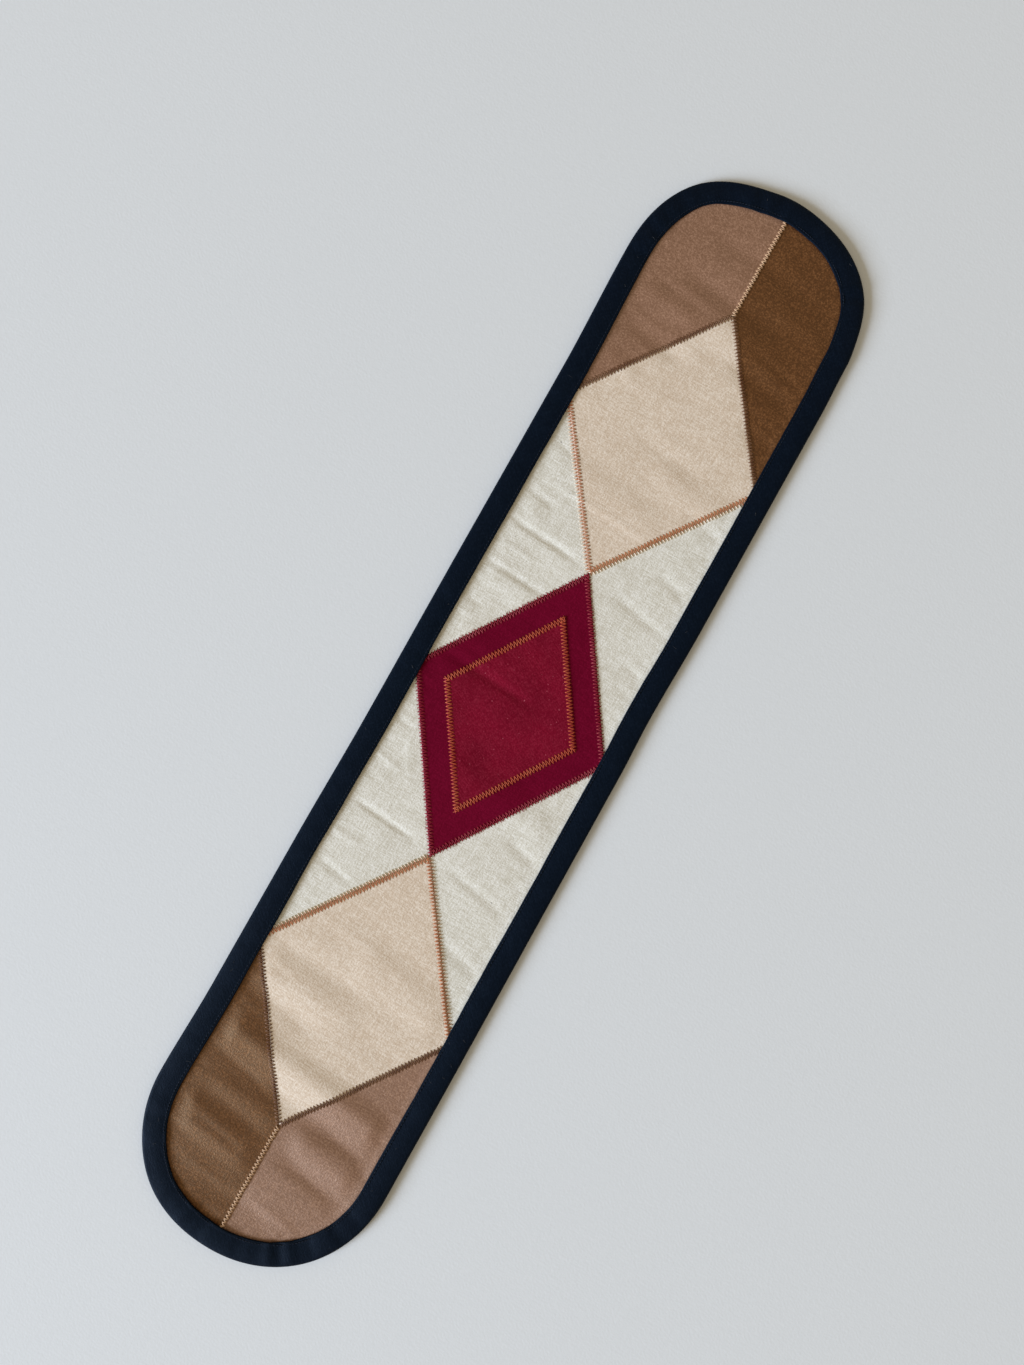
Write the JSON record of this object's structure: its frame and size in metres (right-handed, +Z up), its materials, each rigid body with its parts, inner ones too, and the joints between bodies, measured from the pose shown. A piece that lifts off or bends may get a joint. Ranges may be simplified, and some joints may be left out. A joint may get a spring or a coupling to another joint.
{
  "type": "wall quilt",
  "caption": "Long narrow quilted wall strip with round ends, a folded dark binding and sewn-on diamond patches, lying flat.",
  "frame": {"origin": "on the surface that the quilt lies on, under the middle of its own box", "axes": "+Y along the strip to its fuller end, +X to its right edge, +Z up out of its face"},
  "size_m": [0.1228, 0.5748, 0.004],
  "materials": {
    "ground_cloth": "matt, finely woven cotton",
    "binding_cloth": "matt navy cotton cut on the bias",
    "dark_crimson_cloth": "matt cotton",
    "crimson_cloth": "matt, slightly faded cotton",
    "cream_cloth": "matt, finely woven cotton",
    "mauve_cloth": "soft sateen sheen",
    "brown_cloth": "soft sateen sheen"
  },
  "bodies": {
    "root": {"panel": "ground_cloth", "binding": "binding_cloth", "centre_diamond": "dark_crimson_cloth", "centre_inset": "crimson_cloth", "upper_diamond": "cream_cloth", "lower_diamond": "cream_cloth", "upper_left_corner": "mauve_cloth", "upper_right_corner": "brown_cloth", "lower_left_corner": "brown_cloth", "lower_right_corner": "mauve_cloth"}
  },
  "joints": []
}
